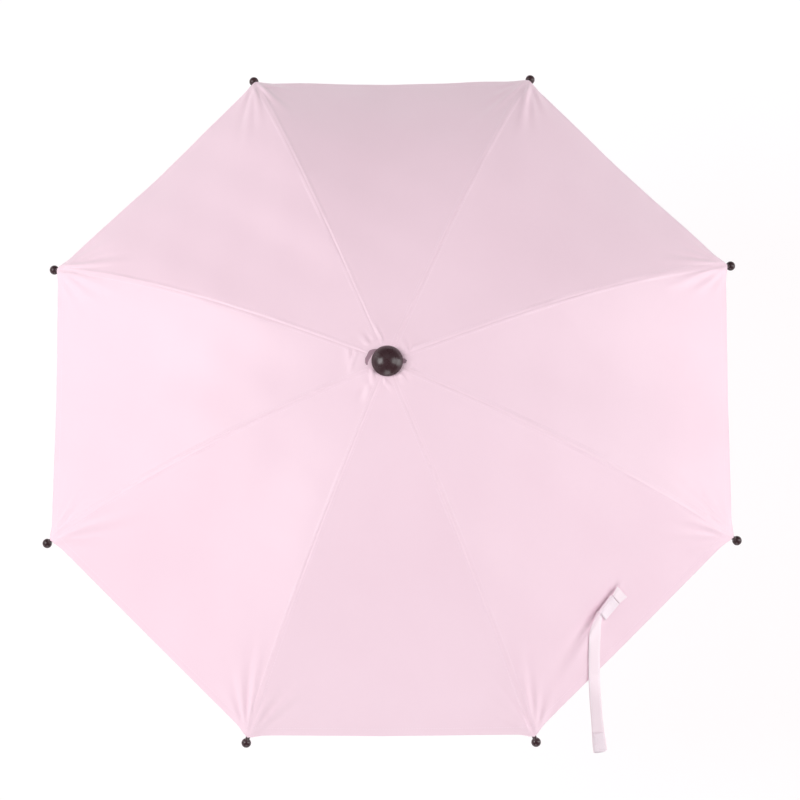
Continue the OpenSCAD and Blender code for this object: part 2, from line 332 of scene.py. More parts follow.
@dataclass(frozen=True)
class WovenCloth:
    """Plain-weave cloth with dashed machine stitches along its seams and hems."""

    name: str
    colour: Colour
    shade: Colour
    thread: float = 0.00045
    roughness: float = 0.46
    sheen: float = 0.25
    seam_stitch: float = 0.0033
    hem_stitch: float = 0.0075
    stitch_pitch: float = 0.0028
    stitch_width: float = 0.00045
    stitch_share: float = 0.68
    weave_height: float = 0.22
    crease_height: float = 0.9
    stitch_height: float = 1.6
    relief: float = 0.00018

    def stitches(self, graph: Graph, uv_map: str, at: float) -> bpy.types.NodeSocket:
        """A row of dashes at a set distance from an edge.

        Args:
            graph: The material's nodes.
            uv_map: UV map with the length along the edge and the distance from it.
            at: Distance of the row from the edge.

        Returns:
            A socket that is 1 on a stitch and 0 elsewhere.
        """
        along, away = graph.uv(uv_map)
        near = graph.maths("COMPARE", away, at, self.stitch_width / 2)
        beat = graph.maths("FRACT", graph.maths("DIVIDE", along, self.stitch_pitch))
        return graph.maths("MULTIPLY", near, graph.maths("LESS_THAN", beat, self.stitch_share))

    def make(self) -> bpy.types.Material:
        """Builds the material."""
        graph = Graph(self.name)
        warp, weft = graph.uv("weave")
        turn = 2 * math.pi / self.thread
        over = graph.maths("SINE", graph.maths("MULTIPLY", warp, turn))
        under = graph.maths("SINE", graph.maths("MULTIPLY", weft, turn))
        weave = graph.maths("MULTIPLY", over, under)
        sewn = graph.maths(
            "MAXIMUM",
            self.stitches(graph, "seam", self.seam_stitch),
            self.stitches(graph, "hem", self.hem_stitch),
        )
        cloudy = graph.range(graph.noise(7.0, 2.0), 0.0, 1.0)
        slub = graph.range(graph.noise(420.0, 2.0, (1, 1, 0.15)), 0.0, 0.35)
        tone = graph.mix(graph.maths("MAXIMUM", cloudy, slub), self.colour, self.shade)
        pale = tuple(min(1.0, c * 1.06) for c in self.colour[:3]) + (1.0,)
        flipped = graph.maths("SUBTRACT", 1.0, sewn)
        graph.join(graph.mix(flipped, pale, tone), graph.shader.inputs["Base Color"])
        rough = graph.range(graph.noise(30.0), self.roughness - 0.05, self.roughness + 0.05)
        graph.join(rough, graph.shader.inputs["Roughness"])
        crease = graph.maths("MULTIPLY", graph.noise(90.0, 4.0), self.crease_height)
        height = graph.maths("ADD", graph.maths("MULTIPLY", weave, self.weave_height), crease)
        height = graph.maths("ADD", height, graph.maths("MULTIPLY", sewn, self.stitch_height))
        graph.bump(height, self.relief, 0.5)
        graph.constants(Sheen_Weight=self.sheen, Sheen_Roughness=0.45, Specular_IOR_Level=0.5)
        return graph.material


@dataclass(frozen=True)
class LoopPile:
    """Hook or loop tape: a short fuzzy pile on a knitted ground."""

    name: str
    colour: Colour
    shade: Colour
    hook: float = 0.0009

    def make(self) -> bpy.types.Material:
        """Builds the material."""
        graph = Graph(self.name)
        cells = graph.add("ShaderNodeTexVoronoi")
        cells.inputs["Scale"].default_value = 1 / self.hook
        graph.join(graph.add("ShaderNodeTexCoord").outputs["Object"], cells.inputs["Vector"])
        pile = graph.maths("ADD", cells.outputs["Distance"], graph.noise(1800.0, 4.0))
        share = graph.range(graph.maths("MULTIPLY", pile, 0.5), 0.0, 1.0)
        graph.join(graph.mix(share, self.colour, self.shade), graph.shader.inputs["Base Color"])
        graph.join(graph.range(graph.noise(300.0), 0.75, 0.95), graph.shader.inputs["Roughness"])
        graph.bump(pile, 0.0004, 0.7)
        graph.constants(Sheen_Weight=0.5, Sheen_Roughness=0.6)
        return graph.material


@dataclass(frozen=True)
class MouldedPlastic:
    """Moulded plastic with a faint flow pattern and a fine surface grain."""

    name: str
    colour: Colour
    shade: Colour
    roughness: float
    grain: float
    grain_depth: float

    def make(self) -> bpy.types.Material:
        """Builds the material."""
        graph = Graph(self.name)
        flow = graph.range(graph.noise(60.0, 2.0), 0.0, 1.0)
        graph.join(graph.mix(flow, self.colour, self.shade), graph.shader.inputs["Base Color"])
        rough = graph.range(graph.noise(140.0), self.roughness * 0.8, self.roughness * 1.25)
        graph.join(rough, graph.shader.inputs["Roughness"])
        grain = graph.maths("ADD", graph.noise(1 / self.grain, 4.0), graph.noise(45.0, 1.0))
        graph.bump(grain, self.grain_depth, 0.6)
        graph.constants(IOR=1.46)
        return graph.material


@dataclass(frozen=True)
class DrawnMetal:
    """Metal with streaks along its length and a patchy bright plating."""

    name: str
    colour: Colour
    shade: Colour
    roughness: float
    stretch: Scaling

    def make(self) -> bpy.types.Material:
        """Builds the material."""
        graph = Graph(self.name)
        streak = graph.noise(900.0, 3.0, self.stretch)
        patch = graph.range(graph.noise(90.0, 3.0), 0.0, 1.0)
        graph.join(graph.mix(patch, self.colour, self.shade), graph.shader.inputs["Base Color"])
        rough = graph.range(streak, self.roughness * 0.7, self.roughness * 1.4)
        graph.join(rough, graph.shader.inputs["Roughness"])
        graph.bump(streak, 0.00004, 0.5)
        graph.constants(Metallic=1.0, Anisotropic=0.35)
        return graph.material


@dataclass(frozen=True)
class PultrudedFibre:
    """Glass-fibre rod: off-white resin with long fibres under a clear skin."""

    name: str
    colour: Colour
    shade: Colour

    def make(self) -> bpy.types.Material:
        """Builds the material."""
        graph = Graph(self.name)
        fibre = graph.noise(260.0, 4.0, (1, 1, 0.2))
        share = graph.range(fibre, 0.0, 1.0)
        graph.join(graph.mix(share, self.colour, self.shade), graph.shader.inputs["Base Color"])
        graph.join(graph.range(graph.noise(120.0), 0.28, 0.42), graph.shader.inputs["Roughness"])
        graph.bump(fibre, 0.00006, 0.4)
        graph.constants(Coat_Weight=0.4, Coat_Roughness=0.2)
        return graph.material


PINK: Colour = (0.96, 0.715, 0.818, 1.0)
PINK_SHADE: Colour = (0.945, 0.698, 0.80, 1.0)
# Painted shade: this dark mauve, for the ring under the cap, stands for the shade in the gaps beside the cap.
PAINTED_SHADE_MAUVE: Colour = (0.52, 0.33, 0.41, 1.0)
PAINTED_SHADE_MAUVE_DEEP: Colour = (0.44, 0.27, 0.34, 1.0)

FINISHES = {
    Slot.CANOPY: WovenCloth("canopy_cloth", PINK, PINK_SHADE),
    Slot.STRAP: WovenCloth("strap_cloth", (0.98, 0.84, 0.90, 1), (0.97, 0.81, 0.88, 1), hem_stitch=0.0016),
    Slot.HOOK: LoopPile("hook_tape", (0.98, 0.86, 0.93, 1), (0.95, 0.79, 0.87, 1)),
    Slot.DARK: MouldedPlastic(
        "dark_plastic", (0.040, 0.018, 0.022, 1), (0.052, 0.024, 0.029, 1), 0.27, 0.0006, 0.00004
    ),
    Slot.GRIP: MouldedPlastic(
        "grip_plastic", (0.034, 0.015, 0.018, 1), (0.050, 0.024, 0.028, 1), 0.5, 0.0009, 0.0002
    ),
    Slot.TUBE: DrawnMetal("shaft_tube", (0.78, 0.78, 0.80, 1), (0.70, 0.70, 0.73, 1), 0.2, (1, 1, 0.01)),
    Slot.STEEL: DrawnMetal("frame_steel", (0.66, 0.67, 0.69, 1), (0.56, 0.57, 0.60, 1), 0.3, (1, 1, 0.4)),
    Slot.FIBRE: PultrudedFibre("glass_fibre", (0.80, 0.79, 0.76, 1), (0.68, 0.67, 0.64, 1)),
}
# Painted shade: the ring under the cap wears this dark mauve cloth so that the gaps beside the cap look shaded.
PAINTED_SHADE_PAD = WovenCloth("pad_cloth", PAINTED_SHADE_MAUVE, PAINTED_SHADE_MAUVE_DEEP, roughness=0.8)


@dataclass
class Dresser:
    """Makes each finish once and puts it on pieces and on the frame's own nodes."""

    made: dict[Slot, bpy.types.Material] = field(default_factory=dict)

    def finish(self, slot: Slot) -> bpy.types.Material:
        """The material of a slot, made when it is first wanted."""
        if slot not in self.made:
            self.made[slot] = FINISHES[slot].make()
        return self.made[slot]

    def dress(self, obj: bpy.types.Object, slot: Slot) -> None:
        """Gives a piece its finish and names its slot."""
        obj.data.materials.clear()
        obj.data.materials.append(self.finish(slot))

    def dress_frame(self) -> None:
        """Gives every node of the frame the finish that the record names for it."""
        for part in frame["record"]["subparts"]:
            self.dress(frame["nodes"][part["node"]], Slot(part["material_slot"]))
            log.info("dressed %s as %s", part["node"], part["material_slot"])


@dataclass(frozen=True)
class RibCurve:
    """Middle line of a rib in its own upright plane: two arcs that meet at the middle joint."""

    hub: Plan
    joint: Plan
    tip_reach: float = 0.375
    slope_hub: float = math.radians(2)
    slope_joint: float = math.radians(17)
    slope_tip: float = math.radians(49)

    @classmethod
    def of_frame(cls) -> RibCurve:
        """The curve through the frame's own pivots."""
        hub, joint = joint_place("rib_1_hinge"), joint_place("rib_1_bend")
        return cls((math.hypot(hub.x, hub.y), hub.z), (math.hypot(joint.x, joint.y), joint.z))

    @property
    def inner_radius(self) -> float:
        """Radius of the inner arc."""
        chord = math.dist(self.hub, self.joint)
        return chord / (2 * math.sin((self.slope_joint - self.slope_hub) / 2))

    @property
    def outer_radius(self) -> float:
        """Radius of the outer arc."""
        chord = (self.tip_reach - self.joint[0]) / math.cos((self.slope_joint + self.slope_tip) / 2)
        return chord / (2 * math.sin((self.slope_tip - self.slope_joint) / 2))

    def arc(self, stretch: Stretch) -> tuple[float, float, float]:
        """Radius and centre of one of the two arcs: (radius, centre reach, centre height)."""
        if stretch is Stretch.INNER:
            start, slope, radius = self.hub, self.slope_hub, self.inner_radius
        else:
            start, slope, radius = self.joint, self.slope_joint, self.outer_radius
        return radius, start[0] - radius * math.sin(slope), start[1] - radius * math.cos(slope)

    def height(self, reach: Array, offset: Array) -> Array:
        """Height of a line that runs over the rib.

        Args:
            reach: Distances from the shaft's axis.
            offset: Distance of the line from the rib's middle line.

        Returns:
            The heights.
        """
        heights = []
        for stretch in Stretch:
            radius, centre, level = self.arc(stretch)
            under = (radius + offset) ** 2 - (reach - centre) ** 2
            heights.append(level + np.sqrt(np.maximum(under, 0.0)))
        border = self.joint[0] + offset * math.sin(self.slope_joint)
        return np.where(reach < border, heights[0], heights[1])

    def hem_reach(self, gap: float, offset: float) -> float:
        """Reach of the cloth's edge over a rib, at an arc length short of the tip."""
        radius, centre, _ = self.arc(Stretch.OUTER)
        return centre + (radius + offset) * math.sin(self.slope_tip - gap / radius)


@dataclass(frozen=True)
class Crease:
    """A soft ridge in the cloth along a straight line, seen from above.

    The ridge starts quickly at its first end, dies away to the other, and has a shallow valley on one side.

    Attributes:
        start: Its first end.
        end: Its other end.
        height: How far it stands up.
        widths: Its half widths at the two ends.
        valley: Depth of the valley, as a share of the height.
        beside: Place of the valley, in half widths from the ridge.
        rise: Share of the length over which it starts.
    """

    start: Plan
    end: Plan
    height: float
    widths: tuple[float, float]
    valley: float = 0.45
    beside: float = 1.7
    rise: float = 0.25

    def at(self, x: Array, y: Array) -> Array:
        """Height that the crease adds at places seen from above."""
        dx, dy = self.end[0] - self.start[0], self.end[1] - self.start[1]
        length = math.hypot(dx, dy)
        along = ((x - self.start[0]) * dx + (y - self.start[1]) * dy) / length**2
        across = ((x - self.start[0]) * dy - (y - self.start[1]) * dx) / length
        width = self.widths[0] + (self.widths[1] - self.widths[0]) * np.clip(along, 0, 1)
        ridge = np.exp(-((across / width) ** 2))
        dip = self.valley * np.exp(-((across / width - self.beside) ** 2))
        return self.height * smooth(along / self.rise) * smooth(1 - along) * (ridge - dip)


@dataclass(frozen=True)
class FlapFold:
    """Settings for how one half panel would lie when the parasol is shut, flat in a plane that leans out from the
    rib; nothing reads them yet.
    """

    lean: float
    slope: float
    offset: float
    keep: float = 0.03

    def fold(self, obj: bpy.types.Object, rib: int, side: Side, pivot: str) -> None:
        """Gives a piece a mesh of its own; it does not yet flatten the piece as the runner slides down.

        Args:
            obj: The piece.
            rib: Number of its rib; not used.
            side: Its side of the rib; not used.
            pivot: Name of the joint that the plane is measured from; not used.
        """
        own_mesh(obj)


FLAPS = {
    Stretch.INNER: FlapFold(math.radians(52.9), math.radians(8.4), -0.0033),
    Stretch.OUTER: FlapFold(math.radians(53.7), math.radians(28.5), -0.0052),
}


def body_of(rib: int, stretch: Stretch) -> str:
    """Name of the body that one length of a rib rides on."""
    return f"rib_{rib}" if stretch is Stretch.INNER else f"rib_rod_{rib}"


def panel_beside(rib: int, side: Side) -> int:
    """Number of the panel on one side of a rib."""
    return rib if side is Side.LEFT else (rib - 2) % RIBS + 1


def pivot_of(rib: int, stretch: Stretch) -> str:
    """Name of the joint at the start of one length of a rib."""
    return f"rib_{rib}_hinge" if stretch is Stretch.INNER else f"rib_{rib}_bend"


@dataclass
class Canopy:
    """Eight sewn panels. Each is made as four pieces, so that it folds on both its ribs."""

    curve: RibCurve
    lift: float = 0.00285
    crown_rise: float = 0.0019
    rise_from: float = 0.024
    rise_to: float = 0.050
    hem_gap: float = 0.010
    hem_draw: float = 0.0022
    inner_edge: tuple[Plan, ...] = (
        (-40, 9.0), (-16, 13.0), (-7, 18.2), (4, 18.8), (13, 16.5), (24, 10.0), (60, 9.0), (112, 9.0),
        (122, 14.8), (138, 18.0), (152, 20.2), (168, 21.3), (184, 21.4), (193, 20.4), (199, 16.0),
        (208, 10.0), (240, 9.0),
    )
    washer_clear: float = 0.48925
    washer_reach: float = 0.0228
    washer_blend: float = 0.010
    narrow: float = 0.012
    calm_from: float = 0.02
    calm_width: float = 0.005
    ridge_place: float = 0.0019
    ridge_width: float = 0.0013
    groove_width: float = 0.0008
    sag: float = 0.0080
    wave: float = 0.0006
    seam_ridge: float = 0.00055
    seam_groove: float = 0.00032
    hem_depth: float = 0.008
    hem_fold: float = 0.0008
    hem_thick: float = 0.0003
    hem_step: float = 0.0008
    hem_curve: float = 0.86
    seam_columns: tuple[float, ...] = (0.0, 0.0008, 0.0015, 0.0021, 0.0027, 0.0036)
    column_power: float = 1.35
    columns: int = 44
    fine_columns: int = 84
    fine_rows: int = 120
    fine_panel: int = 7
    inner_rows: int = 52
    outer_rows: int = 54
    seed: int = 11
    creases: list[Crease] = field(default_factory=list)

    def __post_init__(self) -> None:
        """Lays out the creases once the sizes are known."""
        self.hem = self.curve.hem_reach(self.hem_gap, self.lift)
        self.creases = self.tip_creases() + self.crown_creases() + self.strap_creases()

    def tip_creases(self) -> list[Crease]:
        """Creases that fan out from each tip into both panels beside it."""
        rng = np.random.default_rng(self.seed)
        fan = ((13, 0.095, 0.0046), (28, 0.080, 0.0040), (45, 0.062, 0.0032))
        found = []
        for rib in range(1, RIBS + 1):
            azimuth = rib_azimuth(rib)
            tip = (self.hem + 0.001) * np.array([math.cos(azimuth), math.sin(azimuth)])
            for side in Side:
                for angle, length, height in fan:
                    turn = math.radians(angle + rng.uniform(-3, 3))
                    way = azimuth + math.pi - side.value * turn
                    reach = length * rng.uniform(0.75, 1.25)
                    end = tip + reach * np.array([math.cos(way), math.sin(way)])
                    tall = height * rng.uniform(0.65, 1.2)
                    beside = 1.7 * side.value
                    found.append(Crease(tuple(tip), tuple(end), tall, (0.0016, 0.0062), beside=beside))
        return found

    def crown_creases(self) -> list[Crease]:
        """Puckers round the cap: start, end, height and two widths, in millimetres."""
        puckers = (
            (-3.5, 17.5, -16.0, 45.0, 2.3, 1.5, 2.8, -1.6), (19.5, 8.5, 13.0, 29.0, 2.0, 1.6, 2.2, 1.7),
            (6.8, 14.5, 10.0, 24.0, 1.0, 1.2, 1.6, 1.7), (-36.8, 17.0, -36.8, -13.0, 1.5, 2.2, 2.6, -1.7),
            (-29.5, 15.0, -37.5, -16.0, 1.6, 1.8, 2.4, 1.7), (-15.9, -7.0, -12.0, -27.0, 2.6, 1.9, 2.6, 1.7),
            (-4.5, -17.0, 9.5, -33.0, 1.9, 1.6, 2.2, 1.7), (-16.0, -23.0, -25.0, -50.0, 1.5, 3.0, 4.5, 1.7),
            (20.0, -2.0, 34.0, -15.0, -1.6, 3.0, 5.0, 1.7), (12.5, -11.5, 19.0, -25.0, 2.2, 2.0, 3.0, -1.7),
            (-18.0, 16.0, -30.0, 34.0, 1.2, 2.4, 3.4, 1.7), (22.0, 12.0, 44.0, 22.0, 1.1, 2.4, 3.6, 1.7),
        )
        found = []
        for x0, y0, x1, y1, height, first, last, beside in puckers:
            line = ((x0 / 1000, y0 / 1000), (x1 / 1000, y1 / 1000))
            found.append(Crease(*line, height / 1000, (first / 1000, last / 1000), 0.5, beside, 0.2))
        return found

    def strap_creases(self) -> list[Crease]:
        """The pull of the tie strap: a raised root with a deep valley behind it, and a fold to the next tip."""
        return [
            Crease((0.232, -0.192), (0.194, -0.246), 0.0036, (0.0036, 0.0034), 1.5, 1.25, 0.35),
            Crease((0.216, -0.214), (0.150, -0.318), 0.0052, (0.0036, 0.0075), 0.9, 1.5, 0.16),
        ]

    def edge(self, azimuth: Array) -> Array:
        """Reach of the cloth's inner edge, which draws back beside the cap where the pad's painted shade shows."""
        return table_at(np.degrees(azimuth), self.inner_edge)

    def crown(self, over: Array) -> Array:
        """How far the cloth rises over the crown washer, at reaches along a rib."""
        return self.crown_rise * smooth((self.rise_to - over) / (self.rise_to - self.rise_from))

    def seam_relief(self, away: Array, side: Array, scale: Array, over: Array) -> Array:
        """Relief of the sewn seam: a groove on its line and a ridge on both sides, taller on one.

        Args:
            away: Distances from the seam.
            side: The side of the seam that each place is on, as 1 or -1.
            scale: Share of the seam's full size, less than 1 where the panel is narrow.
            over: Reaches along the rib.

        Returns:
            The heights that the seam adds.
        """
        lean = 0.675 - 0.325 * np.tanh(away * side / 0.0006)
        bulge = np.exp(-(((away / scale - self.ridge_place) / self.ridge_width) ** 2))
        ridge = lean * bulge * (0.3 + 0.7 * smooth(over / 0.2))
        groove = np.exp(-((away / scale / self.groove_width) ** 2))
        return (self.seam_ridge * ridge - self.seam_groove * groove) * scale

    def looseness(self, x: Array, y: Array, over: Array) -> Array:
        """Heights that the creases and the cloth's faint waves add."""
        ripple = np.sin(61 * x + 23 * y + 1.1) * np.sin(34 * y - 47 * x + 0.4) + 0.6 * np.sin(95 * y + 71 * x)
        folds = sum(crease.at(x, y) for crease in self.creases)
        return folds + self.wave * ripple * smooth((over - 0.05) / 0.1)

    def height(self, x: Array, y: Array) -> Array:
        """Height of the cloth's middle surface.

        Args:
            x: Places along X.
            y: Places along Y.

        Returns:
            The heights.
        """
        reach = np.hypot(x, y)
        local = (np.arctan2(y, x) + math.pi) % STEP - HALF
        along, away = reach * np.cos(local), reach * np.abs(np.sin(local))
        over = along + away * SPREAD
        base = self.curve.height(over, self.lift + self.crown(over))
        width = np.maximum(along * SPREAD, 1e-6)
        scale = np.minimum(1.0, width / self.narrow)
        calm = smooth(away / (self.calm_width * np.minimum(1.0, width / self.calm_from)))
        seam = self.seam_relief(away, np.sign(local), scale, over)
        sink = self.sag * np.sin(np.pi / 2 * np.clip(away / width, 0, 1)) ** 2 * (over / self.hem) ** 2
        doubled = self.hem_thick * smooth((over - self.hem + self.hem_depth / math.cos(HALF)) / self.hem_step)
        level = base + seam - sink + calm * self.looseness(x, y, over) + doubled
        floor = self.washer_clear - 0.01 * smooth((reach - self.washer_reach) / self.washer_blend)
        return np.where(reach < self.washer_reach + self.washer_blend, np.maximum(level, floor), level)

    def lateral(self, along: Array, columns: int) -> Array:
        """Distances of the columns from the seam.

        The first columns follow the seam at set distances. The others share out the rest of the panel.

        Args:
            along: Places along the rib.
            columns: Number of columns past the set ones.

        Returns:
            One row for each place along the rib.
        """
        width = along * SPREAD
        fixed = np.array(self.seam_columns)[None, :] * np.minimum(1.0, width / self.narrow)[:, None]
        share = (np.arange(1, columns + 1) / columns) ** self.column_power
        last = fixed[:, -1:]
        return np.hstack([fixed, last + share[None, :] * (width[:, None] - last)])

    def inner_grid(self, rib: int, side: Side) -> tuple[Array, Array]:
        """Rib coordinates of the inner grid: distance along the rib and distance from it."""
        joint = self.curve.joint[0]
        share = (np.arange(self.inner_rows + 1) / self.inner_rows) ** 1.5
        fraction = self.lateral(np.array([joint]), self.columns)[0] / (joint * SPREAD)
        azimuth = rib_azimuth(rib) + side.value * np.arctan(fraction * SPREAD)
        start = self.edge(azimuth) * np.cos(np.arctan(fraction * SPREAD))
        along = start[None, :] + share[:, None] * (joint - start[None, :])
        away = np.empty_like(along)
        for k in range(along.shape[1]):
            away[:, k] = self.lateral(along[:, k], self.columns)[:, k]
        return along, away

    def outer_grid(self, columns: int, rows: int) -> tuple[Array, Array]:
        """Rib coordinates of the outer grid, from the middle joint to the hem."""
        joint = self.curve.joint[0]
        fixed = len(self.seam_columns)
        share = np.concatenate([np.zeros(fixed), (np.arange(1, columns + 1) / columns) ** self.column_power])
        seam = np.concatenate([np.array(self.seam_columns), np.full(columns, self.seam_columns[-1])])
        end = (self.hem - SPREAD * seam * (1 - share)) / (1 + share * SPREAD**2)
        beside = seam + share * (end * SPREAD - seam)
        end = end - self.hem_draw * math.cos(HALF) * smooth(beside / 0.016)
        step = 1 - (1 - np.arange(rows + 1) / rows) ** 1.3
        along = joint + step[:, None] * (end[None, :] - joint)
        away = seam + share * (along * SPREAD - seam)
        return along, away

    def place(self, along: Array, away: Array, rib: int, side: Side) -> tuple[Array, Array]:
        """Turns rib coordinates into places along X and Y."""
        c, s = math.cos(rib_azimuth(rib)), math.sin(rib_azimuth(rib))
        across = side.value * away
        return along * c - across * s, along * s + across * c

    def rolled_hem(self, x: Array, y: Array, out: Plan) -> tuple[Array, Array]:
        """Rows that turn the hem under and bring it back beneath the cloth.

        Args:
            x: Places of the last row along X.
            y: Places of the last row along Y.
            out: Direction square to the hem, away from the shaft.

        Returns:
            The rows as points, and their distances past the hem for the UV maps.
        """
        turns = ((0.0004, -0.0002), (0.0003, -self.hem_fold * 0.8), (-0.0006, -self.hem_fold))
        steps = turns + ((-self.hem_depth * 0.5, -self.hem_fold), (-self.hem_depth, -self.hem_fold))
        rows = []
        for shift, drop in steps:
            px, py = x + out[0] * shift, y + out[1] * shift
            inside = min(shift, 0.0)
            level = self.height(x + out[0] * inside, y + out[1] * inside) + drop
            rows.append(np.stack([px, py, level], axis=-1))
        return np.array(rows), np.array([shift for shift, _ in steps])

    def half_panel(self, rib: int, side: Side, stretch: Stretch) -> bpy.types.Object:
        """Makes one quarter of a panel: its half beside one rib, over one length of that rib.

        Args:
            rib: Number of the rib.
            side: Side of the rib.
            stretch: Inner or outer length.

        Returns:
            The piece, not yet riding on a body.
        """
        inner = stretch is Stretch.INNER
        fine = panel_beside(rib, side) == self.fine_panel
        counts = (self.fine_columns, self.fine_rows) if fine else (self.columns, self.outer_rows)
        along, away = self.inner_grid(rib, side) if inner else self.outer_grid(*counts)
        x, y = self.place(along, away, rib, side)
        points = np.stack([x, y, self.height(x, y)], axis=-1)
        turn = rib_azimuth(rib) + side.value * HALF
        out = (math.cos(turn), math.sin(turn))
        beside = self.hem * math.cos(HALF) - (x * out[0] + y * out[1])
        weave = np.stack([along, side.value * away], axis=-1)
        seam = np.stack([along, away], axis=-1)
        hem = np.stack([y * out[0] - x * out[1], beside], axis=-1)
        if not inner:
            rows, shifts = self.rolled_hem(x[-1], y[-1], out)
            extra = np.repeat(shifts[:, None], along.shape[1], axis=1)
            points = np.concatenate([points, rows])
            weave = np.concatenate([weave, weave[-1:] - np.stack([extra, 0 * extra], axis=-1)])
            seam = np.concatenate([seam, np.repeat(seam[-1:] + [0.0, 1.0], len(shifts), axis=0)])
            ahead = np.repeat(hem[-1:, :, 0], len(shifts), axis=0)
            hem = np.concatenate([hem, np.stack([ahead, -extra], axis=-1)])
        flat = [m.reshape(-1, m.shape[-1]) for m in (points, weave, seam, hem)]
        faces = grid_faces(points.shape[0], points.shape[1], flip=side is Side.RIGHT)
        name = f"panel_{rib}_{side.name.lower()}_{stretch.value}"
        return make_object(name, flat[0], faces, weave=flat[1], seam=flat[2], hem=flat[3])

    def build(self, dresser: Dresser) -> None:
        """Builds and dresses all the panels."""
        for rib in range(1, RIBS + 1):
            for side in Side:
                for stretch in Stretch:
                    piece = self.half_panel(rib, side, stretch)
                    dresser.dress(piece, Slot.CANOPY)
                    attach(piece, body_of(rib, stretch))
                    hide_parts(f"gore_{panel_beside(rib, side)}")
                    FLAPS[stretch].fold(piece, rib, side, pivot_of(rib, stretch))
                    log.info("built %s", piece.name)


@dataclass
class CrownPads:
    """Two cloth rings under the cap: a pad on the washer, whose dark mauve cloth is painted shade for the gaps
    beside the cap, and a collar of gathered cloth over it.
    """

    canopy: Canopy
    hub: float = 0.0105
    pad_reach: float = 0.0216
    pad_nick: tuple[float, float, float] = (0.0035, 2.0, 9.0)
    pad_level: float = 0.48905
    collar_level: float = 0.48945
    collar: tuple[Plan, ...] = (
        (-20, 15.8), (-8, 15.0), (10, 15.2), (22, 15.8), (120, 15.6), (150, 15.9), (166, 16.8), (182, 18.6),
        (194, 19.6), (205, 18.0), (225, 15.8),
    )
    around: int = 144
    across: int = 8

    def ring(self, name: str, reach: Array, level: float, ripple: float) -> bpy.types.Object:
        """Makes one flat ring of cloth.

        Args:
            name: Name of the piece.
            reach: Its outer reach at each step round.
            level: Its height.
            ripple: How far it is wavy.

        Returns:
            The piece, not yet riding on a body.
        """
        turn = np.linspace(0, 2 * math.pi, self.around + 1)[None, :]
        share = np.linspace(0, 1, self.across + 1)[:, None]
        far = self.hub + share * (reach[None, :] - self.hub)
        wave = ripple * share * np.sin(9 * turn + 2 * np.sin(2 * turn))
        points = np.stack([far * np.cos(turn), far * np.sin(turn), level + wave], axis=-1).reshape(-1, 3)
        uv = points[:, :2]
        faces = grid_faces(self.across + 1, self.around + 1)
        return make_object(name, points, faces, weave=uv, seam=uv + 1.0, hem=uv + 1.0)

    def build(self, dresser: Dresser) -> None:
        """Builds and dresses the pad and the collar."""
        azimuth = np.degrees(np.linspace(0, 2 * math.pi, self.around + 1))
        collar = table_at(azimuth, self.collar)
        nick, middle, spread = self.pad_nick
        pad = self.pad_reach - nick * np.exp(-(((azimuth + 180) % 360 - 180 - middle) / spread) ** 2)
        for name, reach, level, ripple in (
            ("crown_pad", pad, self.pad_level, 0.00004),
            ("crown_collar", collar, self.collar_level, 0.00008),
        ):
            piece = self.ring(name, reach, level, ripple)
            dresser.dress(piece, Slot.CANOPY)
            # Painted shade: the pad gets the dark mauve cloth, which stands for the shade in the gaps beside the
            # cap.
            if name == "crown_pad":
                piece.data.materials[0] = PAINTED_SHADE_PAD.make()
            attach(piece, "root")
            log.info("built %s", name)


